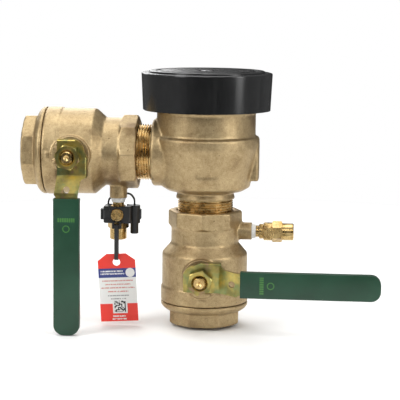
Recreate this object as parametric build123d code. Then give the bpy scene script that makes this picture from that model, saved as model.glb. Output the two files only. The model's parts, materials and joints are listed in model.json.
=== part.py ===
from build123d import *
import os
from math import cos, pi, radians, sin, sqrt, tan

# Pressure vacuum breaker for a 1-1/2 in irrigation line, with its two quarter-turn shutoff valves.
#
# Frame: millimetres, +Z up. The origin is the centre of the inlet port's face, with the inlet axis along +Z.
# The outlet leaves towards -X and the valve handles face -Y, the front.
# Heights in the vacuum breaker are measured from the inlet face. Each shutoff valve is drawn once, standing
# on its pipe end with its flow axis along +Z, its stem towards -Y and its test cock towards +X.

# ---- pipe and thread sizes ---------------------------------------------------------------------------
PIPE_R = 24.13  # outside of 1-1/2 in pipe
PIPE_PITCH = 25.4 / 11.5
PIPE_THREAD_DEPTH = 1.3
PORT_R = 22.75  # minor radius of the female pipe thread
PORT_DEPTH = 16.5
WATERWAY_R = 19.0
ENGAGED = 15.0  # thread length hidden in a shutoff valve
SLIP = 0.05  # radial room between pieces that turn or slide
STATIC_GAP = 0.02  # gap between pieces that are screwed together

# ---- shutoff valve, by its own axis ------------------------------------------------------------------
VALVE_LENGTH = 99.0
OCTAGON_R = 32.2  # over the corners
RETAINER_OCTAGON = 12.6
JOINT_AT = 19.0  # where the retainer's flange meets the body
DRUM_R = 38.0
DRUM_STEP_AT = 32.5
DRUM_STEP = 0.9
DRUM_END = 61.5
NECK_START = 70.5
NECK_R = 29.4
NECK_OCTAGON_AT = 84.0
STEM_AT = 45.0  # height of the ball's centre
BALL_R = 28.0
CAVITY_R = 30.5
NOSE_R = 31.8  # the retainer's male thread
NOSE_END = 31.0
SEAT_OUTER_R = 26.0
SEAT_THICK = 6.4
SEAT_NEAR = 15.2  # from the ball's centre to the near face of a seat

# ---- stem, gland and lever, by distance in front of the valve's axis ----------------------------------
BOSS_R = 16.7
BOSS_FACE = 40.0
STEM_R = 8.0
STEM_THREAD_R = 6.0
STEM_END = 60.0
COLLAR_R = 10.5
COLLAR_AT = 28.6
GLAND_BORE_R = 11.5
GLAND_FLOOR = 35.0
GLAND_TOP = 46.4
PLATE_BACK = 47.0
SHEET = 3.0  # thickness of the lever's steel
NUT_FLATS = 19.0
NUT_HEIGHT = 8.0
GRIP_START = 34.0
GRIP_END = 150.5
GRIP_WIDTH = 22.0
GRIP_SKIN = 1.8
BLADE_RISE = 9.5  # how far the blade is cranked forward of the hub
LEG_DEPTH = 5.2
LOCK_HOLE_R = 2.8
LOCK_HOLE_AT = 27.0

# ---- test cock, by its own axis, standing on the valve's side boss ------------------------------------
COCK_BOSS_AT = 81.0
COCK_BOSS_R = 7.6
COCK_BOSS_FACE = 41.0
COCK_TAP_R = 6.6
COCK_TAP_DEPTH = 11.0
COCK_SHANK_R = 5.0
COCK_PLUG_AT = 13.9
COCK_PLUG_R = 3.9
COCK_PLUG_FRONT = 10.9
COCK_LENGTH = 36.0
COCK_OUTLET_R = 5.7
COCK_OUTLET_DEPTH = 9.5

# ---- vacuum breaker, by height above the inlet face ---------------------------------------------------
OUTLET_Z = 148.4
OUTLET_BOSS_R = 29.1
OUTLET_SHOULDER = 46.0  # from the main axis
OUTLET_VALVE_FACE = 58.2
NECK_RING_BOTTOM = 109.0
BOWL_BOTTOM = 115.4
CHAMBER_FLOOR = 120.0
SHOULDER_Z = 163.4
UPPER_R = 42.6
BODY_TOP = 190.0
CHAMBER_R = 35.5
TOP_BORE_R = 37.0
SEAT_BORE_R = 21.0
CHECK_SEAT_TOP = 122.0
FLOAT_BOTTOM = 152.2
FLOAT_DISC_BOTTOM = 166.0
FLOAT_TOP = 171.0
FLOAT_TRAVEL = 8.0
HOOD_BOTTOM = 186.0
HOOD_TOP = 219.7
HOOD_TOP_R = 56.7
HOOD_BOTTOM_R = 55.2
HOOD_WALL = 2.8
HOOD_LOBES = 8
HOOD_CUSP = 1.1  # depth of the creases
HOOD_TURN = 35.5
HOOD_LIP = 218.0  # the rim, below a raised disc
HOOD_DISC_R = 49.8
HOOD_CEILING = 215.9
BONNET_POST_TOP = 206.0

# ---- sensor clip, tie and tag -------------------------------------------------------------------------
CLIP_TOP = 102.0
CLIP_BOTTOM = 85.5
CAPSULE_X = -62.0
CAPSULE_R = 3.6
LEAD_R = 0.85
BAR_Y = -11.6
BAR_Z = 83.4
TIE_INNER_R = 1.5
TIE_THICK = 1.0
TIE_WIDTH = 3.4
TIE_IN_HOLE = 2.75  # where the strap's inside bears, above the hole's centre
TAG_HOLE_Z = 52.6
TAG_HOLE_R = 3.3
TAG_ABOVE_HOLE = 7.4
TAG_THICK = 0.5
TAG_WIDTH = 33.0
TAG_HEIGHT = 60.0
TAG_TILT = 3.5

STANDING = (Align.CENTER, Align.CENTER, Align.MIN)  # a solid that stands on its place
HANGING = (Align.CENTER, Align.CENTER, Align.MAX)
INLET = Location((0, 0, 0))
OUTLET = Location((-(OUTLET_VALVE_FACE + VALVE_LENGTH), 0, OUTLET_Z), (0, 90, 0))
COCK = Location((COCK_BOSS_FACE, 0, COCK_BOSS_AT), (0, 90, 0))


# ---- helpers ------------------------------------------------------------------------------------------
def turned(points):
    """A solid of revolution about Z, from (radius, height) corners."""
    return revolve(make_face(Plane.XZ * Polyline(*points, close=True)), Axis.Z)


def tube(inner, outer, low, high):
    """A plain ring about Z."""
    return turned([(inner, low), (outer, low), (outer, high), (inner, high)])


def rod(radius, low, high):
    """A plain cylinder about Z."""
    return Pos(0, 0, low) * Cylinder(radius, high - low, align=STANDING)


def facing_front(at):
    """A placing that turns +Z to the front, at a height on the axis. Depth in front of the axis is its Z."""
    return Location(Plane((0, 0, at), x_dir=(1, 0, 0), z_dir=(0, -1, 0)))


def thread_teeth(radius, depth, low, high, pitch):
    """Corners of a ridged wall going up, as a screw thread looks in section."""
    count = int((high - low) / pitch)
    points = []
    for i in range(count):
        foot = low + i * pitch
        points += [(radius - depth, foot + 0.1 * pitch), (radius, foot + 0.45 * pitch)]
        points += [(radius, foot + 0.6 * pitch), (radius - depth, foot + 0.95 * pitch)]
    return points


def prism(sides, corner_radius, low, high, turn=0.0):
    """An upright prism with regular sides."""
    return Pos(0, 0, low) * extrude(RegularPolygon(corner_radius, sides, rotation=turn), high - low)


def eased_prism(sides, corner_radius, low, high, ease_low, ease_high, turn=0.0):
    """A prism whose corners are turned off at its two ends, as on a nut."""
    envelope = turned([
        (0, low), (corner_radius - ease_low, low), (corner_radius + 0.01, low + ease_low * 0.7),
        (corner_radius + 0.01, high - ease_high * 0.7), (corner_radius - ease_high, high), (0, high),
    ])
    return prism(sides, corner_radius, low, high, turn) & envelope


def torus_ring(middle_radius, section_radius, at):
    """An O-ring lying level at a height."""
    return Pos(0, 0, at) * Torus(middle_radius, section_radius)


def coil(radius, wire, low, high, turns):
    """A compression spring of round wire with its ends cut level."""
    rise = high - low - 2 * wire
    path = Pos(0, 0, low + wire) * Helix(rise / turns, rise, radius)
    section = Plane(path @ 0, z_dir=path % 0) * Circle(wire)
    return sweep(section, path=path, is_frenet=True)


def softened(shape, edges, radius):
    """The shape with those edges rounded, or rounded less where the full radius doesn't fit."""
    for share in (1.0, 0.6, 0.35):
        try:
            rounded = fillet(edges, radius * share)
        except (ValueError, RuntimeError):
            continue
        if rounded.is_valid:
            return rounded
    print("an edge was left sharp")
    return shape


def save(name, shape):
    """Writes one node."""
    export_step(shape if isinstance(shape, Compound) else Compound(children=[shape]), f"parts/{name}.step")


# ---- shutoff valve ------------------------------------------------------------------------------------
def valve_body():
    """The cast body: drum, cone, neck and wrench octagon, with a stem boss and a test cock boss."""
    small_drum = DRUM_R - DRUM_STEP
    outside = turned([
        (0, JOINT_AT + 0.3), (DRUM_R - 0.8, JOINT_AT + 0.3), (DRUM_R, JOINT_AT + 1.2),
        (DRUM_R, DRUM_STEP_AT - 0.5), (small_drum, DRUM_STEP_AT + 0.5), (small_drum, DRUM_END),
        (NECK_R, NECK_START), (NECK_R, VALVE_LENGTH - 2), (0, VALVE_LENGTH - 2),
    ])
    round_edges = outside.edges().filter_by(GeomType.CIRCLE).filter_by_position(Axis.Z, DRUM_END - 1,
        NECK_START + 1)
    outside = softened(outside, round_edges, 2.5)
    octagon = eased_prism(8, OCTAGON_R, NECK_OCTAGON_AT, VALVE_LENGTH, 3.0, 1.6)
    boss = facing_front(STEM_AT) * rod(BOSS_R, 20, BOSS_FACE)
    shape = outside + octagon + boss
    side = COCK * rod(COCK_BOSS_R, -18, 0)
    shape = shape + side
    shape = shape - valve_hollow()
    return shape + stop_pads() + foundry_mark()


def valve_hollow():
    """Everything cut out of the cast body."""
    seat_far = STEM_AT + SEAT_NEAR + SEAT_THICK
    hollow = rod(NOSE_R + SLIP, 0, NOSE_END + 0.5)
    hollow += rod(CAVITY_R, NOSE_END, STEM_AT + SEAT_NEAR)
    hollow += rod(SEAT_OUTER_R + SLIP, STEM_AT, seat_far)
    hollow += rod(WATERWAY_R, seat_far - 1, VALVE_LENGTH)
    hollow += rod(PIPE_R + SLIP, VALVE_LENGTH - ENGAGED - 0.5, VALVE_LENGTH + 1)
    hollow += facing_front(STEM_AT) * rod(STEM_R + SLIP, 20, BOSS_FACE + 1)
    hollow += facing_front(STEM_AT) * rod(COLLAR_R + SLIP, 20, COLLAR_AT + 4.2)
    hollow += facing_front(STEM_AT) * rod(GLAND_BORE_R + SLIP, GLAND_FLOOR, BOSS_FACE + 1)
    hollow += COCK * rod(COCK_TAP_R, -COCK_TAP_DEPTH, 1)
    hollow += COCK * rod(2.5, -25, 0)
    return hollow


def stop_pads():
    """Two pads on the stem boss that the lever's legs meet when it is shut and when it is open."""
    pads = None
    for middle in (-131.0, -65.0):
        ring = tube(12.3, BOSS_R - 0.3, BOSS_FACE - 0.5, BOSS_FACE + 3.6)
        wedge = Rot(0, 0, middle) * (Pos(14, 0, BOSS_FACE + 2) * Box(12, 4.2, 8))
        pad = facing_front(STEM_AT) * (ring & wedge)
        pads = pad if pads is None else pads + pad
    return pads


def foundry_mark():
    """A plain raised pip beside the stem boss."""
    pip = facing_front(STEM_AT) * (Pos(0.5, -20.2, DRUM_R - 3) * extrude(SlotOverall(6.5, 3.2), 6.0))
    return pip & rod(DRUM_R + 0.6, STEM_AT - 24, STEM_AT - 16)


def valve_retainer(turn):
    """The screwed-in end piece with the female pipe thread."""
    octagon = eased_prism(8, OCTAGON_R, 0, RETAINER_OCTAGON + 1, 2.2, 0.5, turn)
    flange = turned([
        (0, RETAINER_OCTAGON - 1.0), (NECK_R, RETAINER_OCTAGON - 1.0), (34.0, RETAINER_OCTAGON - 0.2),
        (36.4, RETAINER_OCTAGON + 1.6), (DRUM_R, RETAINER_OCTAGON + 4.0), (DRUM_R - 0.2, JOINT_AT),
        (NOSE_R, JOINT_AT), (NOSE_R, NOSE_END), (0, NOSE_END),
    ])
    shape = octagon + flange
    shape -= rod(PORT_R, -1, PORT_DEPTH)
    shape -= rod(WATERWAY_R, 0, NOSE_END + 1)
    shape -= rod(SEAT_OUTER_R + SLIP, STEM_AT - SEAT_NEAR - SEAT_THICK, NOSE_END + 1)
    return shape - tube(NOSE_R - 1.6, NOSE_R + 1, NOSE_END - 5.0, NOSE_END - 2.4)


def retainer_seal():
    """The O-ring in the retainer's groove."""
    return torus_ring(NOSE_R - 0.8, 0.8, NOSE_END - 3.7)


def ball():
    """The bored ball, shut: its bore points the way the lever does."""
    shape = Pos(0, 0, STEM_AT) * Sphere(BALL_R)
    shape -= Pos(0, 0, STEM_AT) * Rot(0, 90, 0) * Cylinder(WATERWAY_R, 3 * BALL_R)
    slot = facing_front(STEM_AT) * (Pos(0, 0, 21.5) * Box(20, 6.4, 13, align=STANDING))
    return shape - slot


def ball_seats():
    """The pair of seat rings that the ball is held between."""
    ball_room = Pos(0, 0, STEM_AT) * Sphere(BALL_R + 0.03)
    near = tube(WATERWAY_R + 0.3, SEAT_OUTER_R - STATIC_GAP, STEM_AT + SEAT_NEAR,
        STEM_AT + SEAT_NEAR + SEAT_THICK)
    far = tube(WATERWAY_R + 0.3, SEAT_OUTER_R - STATIC_GAP, STEM_AT - SEAT_NEAR - SEAT_THICK,
        STEM_AT - SEAT_NEAR)
    return Compound(children=[*(near - ball_room).solids(), *(far - ball_room).solids()])


def stem():
    """The stem: tang in the ball, thrust collar, shank, flats for the lever and a threaded end."""
    shape = rod(STEM_R, COLLAR_AT, PLATE_BACK - 0.3) + rod(COLLAR_R, COLLAR_AT, COLLAR_AT + 2.4)
    shape += Pos(0, 0, 22.0) * Box(15, 6, 7, align=STANDING)
    shape += turned([
        (0, PLATE_BACK - 1), (STEM_THREAD_R - 0.15, PLATE_BACK - 1),
        *thread_teeth(STEM_THREAD_R - 0.05, 0.7, PLATE_BACK + SHEET, STEM_END - 1.4, 1.75),
        (STEM_THREAD_R - 0.7, STEM_END - 1.0), (STEM_THREAD_R - 1.4, STEM_END), (0, STEM_END),
    ])
    flats = Box(20, 9.0, 30, align=STANDING)
    low = rod(20, 0, PLATE_BACK - 0.3)
    shape = (shape & low) + (shape & (Pos(0, 0, PLATE_BACK - 0.35) * flats))
    dimple = Pos(0, 0, STEM_END) * Cone(0, 2.4, 1.6, align=HANGING)
    return facing_front(STEM_AT) * (shape - dimple)


def thrust_washer():
    """The low-friction ring over the stem's collar."""
    return facing_front(STEM_AT) * tube(STEM_R + SLIP, COLLAR_R - SLIP, COLLAR_AT + 2.45, COLLAR_AT + 4.1)


def packing():
    """The stem packing under the gland nut."""
    return facing_front(STEM_AT) * tube(STEM_R + SLIP, GLAND_BORE_R - SLIP, GLAND_FLOOR + 0.02,
        GLAND_FLOOR + 2.4)


def gland_nut():
    """The nut that squeezes the packing."""
    shape = rod(GLAND_BORE_R - STATIC_GAP, GLAND_FLOOR + 2.45, BOSS_FACE + 0.3)
    shape += eased_prism(6, 11.0, BOSS_FACE + 0.1, GLAND_TOP, 0.4, 0.9, 30)
    return facing_front(STEM_AT) * (shape - rod(STEM_R + SLIP, 0, 60))


def lever_outline():
    """The lever seen from the front: across is along the grip, up is towards the side leg."""
    blade_half = GRIP_WIDTH / 2 - GRIP_SKIN
    blade_end = GRIP_END - GRIP_SKIN
    corner = 6.5
    bend = corner * (1 - cos(radians(45)))
    straight = blade_end - corner
    near = blade_end - bend
    edge = [
        Line((-14.5, -9.6), (-14.5, 6.0)),
        ThreePointArc((-14.5, 6.0), (-11.0, 11.2), (-4.6, 13.4)),
        Line((-4.6, 13.4), (-0.6, 15.5)),
        Line((-0.6, 15.5), (17.6, 15.5)),
        ThreePointArc((17.6, 15.5), (19.0, 11.9), (22.0, 10.6)),
        Line((22.0, 10.6), (33.0, blade_half)),
        Line((33.0, blade_half), (straight, blade_half)),
        ThreePointArc((straight, blade_half), (near, blade_half - bend), (blade_end, blade_half - corner)),
        Line((blade_end, blade_half - corner), (blade_end, corner - blade_half)),
        ThreePointArc((blade_end, corner - blade_half), (near, bend - blade_half), (straight, -blade_half)),
        Line((straight, -blade_half), (33.0, -blade_half)),
        Line((33.0, -blade_half), (31.0, -10.6)),
        ThreePointArc((31.0, -10.6), (20.0, -9.8), (9.0, -9.6)),
        Line((9.0, -9.6), (-14.5, -9.6)),
    ]
    return make_face(Wire(edge))


def lever():
    """The pressed steel lever: flat hub with two stop legs, and a blade cranked forward."""
    back, front = PLATE_BACK, PLATE_BACK + SHEET
    side = [
        (-20, back), (16.5, back), (30.5, back + BLADE_RISE), (160, back + BLADE_RISE),
        (160, front + BLADE_RISE), (29.6, front + BLADE_RISE), (15.6, front), (-20, front),
    ]
    profile = make_face(Plane.XZ * Polyline(*side, close=True))
    bent = extrude(profile, 20, both=True)
    bends = bent.edges().filter_by(Axis.Y).filter_by_position(Axis.X, 10, 40)
    bent = softened(bent, bends, 2.5)
    shape = extrude(lever_outline(), 80) & bent
    side_leg = Pos(8.5, 14.0, front) * Box(17, SHEET, SHEET + LEG_DEPTH, align=HANGING)
    tail_leg = Pos(-13.0, -1.8, front) * Box(SHEET, 15.6, SHEET + LEG_DEPTH, align=HANGING)
    side_edge = side_leg.edges().filter_by(Axis.X).group_by(Axis.Y)[-1].group_by(Axis.Z)[-1]
    tail_edge = tail_leg.edges().filter_by(Axis.Y).group_by(Axis.X)[0].group_by(Axis.Z)[-1]
    corner_cut = Pos(0, 15.5, front) * Box(40, 2.4, 2.4)
    tail_cut = Pos(-14.5, 0, front) * Box(2.4, 40, 2.4)
    corner_cut &= Pos(8.5, 0, 0) * Box(18.2, 60, 200)
    tail_cut &= Pos(-14.5, -1.8, 0) * Box(9, 15.6, 200)
    hub = shape - corner_cut - tail_cut
    shape = hub + softened(side_leg, side_edge, 2.6) + softened(tail_leg, tail_edge, 2.6)
    keyhole = rod(STEM_THREAD_R + SLIP, 0, 90) & Box(20, 9.1, 200)
    lock_hole = Pos(LOCK_HOLE_AT, -0.3, 0) * rod(LOCK_HOLE_R, 0, 90)
    return facing_front(STEM_AT) * (shape - keyhole - lock_hole)


def grip():
    """The vinyl sleeve dipped over the lever's blade."""
    middle = PLATE_BACK + BLADE_RISE + SHEET / 2
    length = GRIP_END - GRIP_START
    thick = SHEET + 2 * GRIP_SKIN
    place = Pos(GRIP_START + length / 2, 0, middle)
    outer = place * Box(length, GRIP_WIDTH, thick)
    ends = outer.edges().filter_by(Axis.Z).group_by(Axis.X)[-1]
    outer = softened(outer, ends, 8.3)
    rims = outer.edges().filter_by_position(Axis.X, GRIP_START + 1, GRIP_END + 1)
    outer = softened(outer, rims, 2.2)
    room = extrude(offset(lever_outline(), STATIC_GAP), 80) & (place * Box(400, 40, SHEET + 2 * STATIC_GAP))
    return facing_front(STEM_AT) * (outer - room)


def lever_nut():
    """The hex nut that holds the lever on the stem."""
    low = PLATE_BACK + SHEET + 0.02
    shape = eased_prism(6, NUT_FLATS / sqrt(3), low, low + NUT_HEIGHT, 0.8, 1.1, 18)
    shape -= rod(STEM_THREAD_R + 0.05, 0, 90)
    mouth = turned([(0, low + NUT_HEIGHT + 1), (8.2, low + NUT_HEIGHT + 1),
        (6.0, low + NUT_HEIGHT - 0.8), (0, low + NUT_HEIGHT - 0.8)])
    return facing_front(STEM_AT) * (shape - mouth)


# ---- test cock ----------------------------------------------------------------------------------------
def cock_body():
    """The test cock's brass body, from its threaded shank to its threaded outlet."""
    barrel = turned([
        (0, -10.5), (COCK_SHANK_R, -10.5), (COCK_SHANK_R, 5.9), (5.6, 6.0), (6.5, 6.6), (6.5, 9.6),
        (7.9, 10.6), (7.9, 17.0), (6.8, 17.8), (0, 17.8),
    ])
    hexagon = eased_prism(6, 9.3, 17.4, 26.2, 0.9, 1.2, 0)
    spout = turned([(0, 25), (7.4, 25), (7.4, COCK_LENGTH - 0.8), (6.7, COCK_LENGTH), (0, COCK_LENGTH)])
    collar = facing_front(COCK_PLUG_AT) * turned([(0, 0), (5.4, 0), (5.4, 9.9), (4.9, 10.4), (0, 10.4)])
    shape = barrel + hexagon + spout + collar
    shape -= facing_front(COCK_PLUG_AT) * rod(COCK_PLUG_R + SLIP, -5.6, 12)
    shape -= rod(2.4, -12, 30)
    return shape - rod(COCK_OUTLET_R, COCK_LENGTH - COCK_OUTLET_DEPTH, COCK_LENGTH + 1)


def cock_plug(is_open):
    """The quarter-turn plug with its screwdriver slot. The slot lies along the plug's bore."""
    turn = 0 if is_open else 90
    shape = turned([
        (0, -5.4), (COCK_PLUG_R, -5.4), (COCK_PLUG_R, 6.4), (3.2, 6.4), (3.2, 8.0), (COCK_PLUG_R, 8.0),
        (COCK_PLUG_R, COCK_PLUG_FRONT - 0.5), (COCK_PLUG_R - 0.5, COCK_PLUG_FRONT), (0, COCK_PLUG_FRONT),
    ])
    shape -= Rot(90, 0, 0) * Cylinder(2.3, 20)
    shape -= Pos(0, 0, COCK_PLUG_FRONT) * Box(1.4, 12, 3.6)
    return facing_front(COCK_PLUG_AT) * Rot(0, 0, turn) * shape


def cock_ring():
    """The plug's O-ring, squared by its groove."""
    return facing_front(COCK_PLUG_AT) * tube(3.22, COCK_PLUG_R - 0.02, 6.45, 7.95)


def cock_tape():
    """White sealing tape wound on the shank, part of it standing clear of the boss."""
    return turned([
        (COCK_SHANK_R + STATIC_GAP, -9.0), (COCK_TAP_R - 0.05, -9.0), (COCK_TAP_R - 0.05, 0.4),
        (6.1, 1.2), (5.8, 3.2), (COCK_SHANK_R + STATIC_GAP, 3.4),
    ])


# ---- vacuum breaker -----------------------------------------------------------------------------------
def bowl_profile(grow):
    """The cast bowl's outline on one side, with its skin moved out by grow."""
    points = [
        (23.8 + grow, BOWL_BOTTOM), (33.0 + grow, 116.8 - grow), (38.4 + grow, 120.0), (39.8 + grow, 127.0),
        (43.4 + grow, 143.0), (46.0 + grow, 155.0), (46.2 + grow, SHOULDER_Z - 1.6),
        (45.2 + grow, SHOULDER_Z),
    ]
    return points


def main_outside():
    """The casting's outside: spigot, neck ring, bowl, outlet branch, side pad and flow arrow."""
    column = turned([
        (0, VALVE_LENGTH - ENGAGED), (PIPE_R - 1.6, VALVE_LENGTH - ENGAGED),
        *thread_teeth(PIPE_R, PIPE_THREAD_DEPTH, VALVE_LENGTH - ENGAGED + 0.6, NECK_RING_BOTTOM - 0.3,
            PIPE_PITCH),
        (PIPE_R - 0.6, NECK_RING_BOTTOM), (25.4, NECK_RING_BOTTOM + 0.1), (25.5, NECK_RING_BOTTOM + 1.2),
        (24.9, NECK_RING_BOTTOM + 3.4), (24.0, BOWL_BOTTOM - 0.8), *bowl_profile(0),
        (UPPER_R + 0.8, SHOULDER_Z + 0.1), (UPPER_R, SHOULDER_Z + 1.4), (UPPER_R, HOOD_BOTTOM - 2.2),
        (UPPER_R + 0.9, HOOD_BOTTOM - 1.6), (UPPER_R + 0.9, HOOD_BOTTOM + 1.0),
        (UPPER_R, HOOD_BOTTOM + 1.8),
        (UPPER_R, BODY_TOP), (0, BODY_TOP),
    ])
    branch_end = OUTLET_VALVE_FACE + ENGAGED
    branch = turned([
        (0, 0), (OUTLET_BOSS_R, 0), (OUTLET_BOSS_R, OUTLET_SHOULDER - 1.6),
        (OUTLET_BOSS_R - 1.6, OUTLET_SHOULDER),
        (PIPE_R - 0.9, OUTLET_SHOULDER), (PIPE_R - 0.9, OUTLET_SHOULDER + 2.0),
        *thread_teeth(PIPE_R, PIPE_THREAD_DEPTH, OUTLET_SHOULDER + 2.0, branch_end - 0.6, PIPE_PITCH),
        (PIPE_R - 1.6, branch_end), (0, branch_end),
    ])
    branch = Location(Plane((0, 0, OUTLET_Z), x_dir=(0, 1, 0), z_dir=(-1, 0, 0))) * branch
    pad = Pos(38, 0, 142.5) * Box(16, 24, 33) & rod(46.9, 120, 170)
    return column + branch + pad


def flow_arrow():
    """A raised arrow on the bowl's front that shows the way to the outlet."""
    outline = make_face(Polyline(
        (-13.5, 0), (-6.5, 5.4), (-6.5, 2.6), (13.0, 2.6), (13.0, -2.6), (-6.5, -2.6), (-6.5, -5.4),
        close=True))
    solid = Location(Plane((1.5, -30, 128.0), x_dir=(1, 0, 0), z_dir=(0, -1, 0))) * extrude(outline, 30)
    skin = turned([(30, 114), *bowl_profile(0.7), (30, SHOULDER_Z)])
    return solid & skin


def main_body():
    """The vacuum breaker's casting with its machined insides."""
    shape = main_outside()
    shape += flow_arrow()
    shape -= rod(WATERWAY_R, 0, CHAMBER_FLOOR)
    shape -= rod(SEAT_BORE_R, 112.0, CHAMBER_FLOOR + 1)
    shape -= turned([
        (0, CHAMBER_FLOOR), (33.0, CHAMBER_FLOOR), (CHAMBER_R, 123.5), (CHAMBER_R, 158), (TOP_BORE_R, 160),
        (TOP_BORE_R, BODY_TOP + 1), (0, BODY_TOP + 1),
    ])
    branch_bore = Location(Plane((0, 0, OUTLET_Z), x_dir=(0, 1, 0),
        z_dir=(-1, 0, 0))) * rod(WATERWAY_R, 0, 90)
    return shape - branch_bore


def check_seat():
    """The screwed-in ring that the check closes on."""
    return turned([
        (17.4, 112.02), (SEAT_BORE_R - STATIC_GAP, 112.02), (SEAT_BORE_R - STATIC_GAP, CHAMBER_FLOOR + 0.6),
        (19.6, CHECK_SEAT_TOP), (18.4, CHECK_SEAT_TOP), (17.4, CHAMBER_FLOOR + 1.0),
    ])


def check_poppet():
    """The check's disc and guide stem."""
    low = CHECK_SEAT_TOP
    return turned([
        (0, low - 2.0), (5.0, low - 2.0), (5.0, low + 2.6), (23.0, low + 2.6), (23.0, low + 0.2),
        (24.2, low + 0.2),
        (24.2, low + 4.6), (9.5, low + 5.4), (6.6, low + 5.4), (5.0, low + 6.4), (3.0, low + 7.5),
        (3.0, 151.0), (0, 151.0),
    ])


def check_washer():
    """The check's rubber face."""
    return tube(5.0 + STATIC_GAP, 23.0 - STATIC_GAP, CHECK_SEAT_TOP + 0.03, CHECK_SEAT_TOP + 2.58)


def check_cage():
    """The guide that stands over the check on three legs and carries the float at rest."""
    shape = tube(26.5, 32.6, CHAMBER_FLOOR + 0.05, CHAMBER_FLOOR + 3.0)
    shape += tube(3.1, 7.0, 146.0, 152.0)
    for i in range(3):
        turn = Rot(0, 0, 30 + 120 * i)
        shape += turn * (Pos(29.5, 0, 134.5) * Box(4, 6, 28))
        shape += turn * (Pos(17.5, 0, 147.6) * Box(26, 4, 3.0))
    return shape - rod(3.1, 140, 160)


def air_float():
    """The float that shuts the air inlet when water lifts it."""
    top_stem = FLOAT_TOP + 16.0
    return turned([
        (4.2, FLOAT_BOTTOM), (6.2, FLOAT_BOTTOM), (6.2, 162), (9.0, FLOAT_DISC_BOTTOM),
        (27.0, FLOAT_DISC_BOTTOM),
        (27.6, FLOAT_DISC_BOTTOM + 0.8), (27.6, FLOAT_TOP - 0.4), (27.0, FLOAT_TOP), (26.2, FLOAT_TOP),
        (26.2, FLOAT_TOP - 2.0), (20.0, FLOAT_TOP - 2.0), (20.0, FLOAT_TOP), (5.4, FLOAT_TOP),
        (3.0, FLOAT_TOP + 2.0),
        (3.0, top_stem), (0, top_stem), (0, FLOAT_DISC_BOTTOM - 1.5), (4.2, FLOAT_DISC_BOTTOM - 2.5),
    ])


def float_seal():
    """The rubber ring in the float's top."""
    return tube(20.0 + STATIC_GAP, 26.2 - STATIC_GAP, FLOAT_TOP - 1.98, FLOAT_TOP + 0.3)


def bonnet():
    """The screwed-in top: the air inlet's seat, four arms and the post that carries the hood."""
    seat_face = FLOAT_TOP + FLOAT_TRAVEL + 0.35
    shape = turned([
        (21.5, seat_face + 1.0), (22.6, seat_face), (24.4, seat_face), (25.6, seat_face + 1.6),
        (TOP_BORE_R - 3, seat_face + 1.6),
        (TOP_BORE_R - STATIC_GAP, seat_face + 3.0), (TOP_BORE_R - STATIC_GAP, BODY_TOP - 2.2),
        (34.8, BODY_TOP - 2.2),
        (34.8, BODY_TOP - 0.2), (TOP_BORE_R - STATIC_GAP, BODY_TOP - 0.2),
        (TOP_BORE_R - STATIC_GAP, BODY_TOP + 0.05),
        (41.6, BODY_TOP + 0.05), (41.6, BODY_TOP + 2.6), (40.8, BODY_TOP + 3.4),
        (23.5, BODY_TOP + 3.4), (21.5, BODY_TOP + 1.5),
    ])
    post = turned([
        (3.1, 186.6), (11.0, 186.6), (11.0, 194.0), (7.0, 199.0), (7.0, BONNET_POST_TOP),
        (2.5, BONNET_POST_TOP),
        (2.5, 198.0), (0, 198.0), (0, 196.5), (3.1, 196.5),
    ])
    shape += post
    for i in range(4):
        shape += Rot(0, 0, 45 + 90 * i) * (Pos(16.5, 0, 190.4) * Box(14, 4.0, 5.4))
    return shape


def bonnet_seal():
    """The O-ring under the bonnet's flange."""
    return tube(34.85, TOP_BORE_R - 0.05, BODY_TOP - 2.15, BODY_TOP - 0.25)


def lobed_disc(radius, cusp):
    """A round outline of shallow lobes that meet in creases."""
    half = radians(180 / HOOD_LOBES)
    corner = radius - cusp
    edge = []
    for i in range(HOOD_LOBES):
        middle = radians(HOOD_TURN) + 2 * half * i
        first, last = middle - half, middle + half
        edge.append(ThreePointArc(
            (corner * cos(first), corner * sin(first)), (radius * cos(middle), radius * sin(middle)),
            (corner * cos(last), corner * sin(last))))
    return make_face(Wire(edge))


def hood():
    """The plastic hood that keeps rain and insects off the air inlet."""
    low = Pos(0, 0, HOOD_BOTTOM) * lobed_disc(HOOD_BOTTOM_R, HOOD_CUSP)
    high = Pos(0, 0, HOOD_LIP) * lobed_disc(HOOD_TOP_R, HOOD_CUSP)
    outer = loft([low, high])
    outer = softened(outer, outer.edges().group_by(Axis.Z)[-1], 1.2)
    disc = rod(HOOD_DISC_R, HOOD_LIP - 1.0, HOOD_TOP)
    outer += softened(disc, disc.edges().group_by(Axis.Z)[-1], 1.0)
    inner_low, inner_high = HOOD_BOTTOM_R - HOOD_WALL - 0.5, HOOD_TOP_R - HOOD_WALL - 0.5
    room = turned([(0, HOOD_BOTTOM - 1), (inner_low, HOOD_BOTTOM - 1), (inner_high, HOOD_CEILING),
        (0, HOOD_CEILING)])
    hollow = outer - room
    hollow += tube(3.3, 7.0, BONNET_POST_TOP + 0.05, HOOD_TOP - 3.0)
    for i in range(HOOD_LOBES):
        rib = Pos(inner_low - 1.2, 0, HOOD_TOP - 12) * Box(6.4, 1.6, 20)
        hollow += Rot(0, 0, HOOD_TURN + 180 / HOOD_LOBES + i * 360 / HOOD_LOBES) * rib
    hollow -= rod(7.6, HOOD_TOP - 3.6 + 1.0, HOOD_TOP + 1)
    hollow -= tube(40.0, 44.0, HOOD_TOP - 0.7, HOOD_TOP + 1)
    hollow -= rod(3.3, HOOD_BOTTOM, HOOD_TOP)
    return hollow


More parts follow.
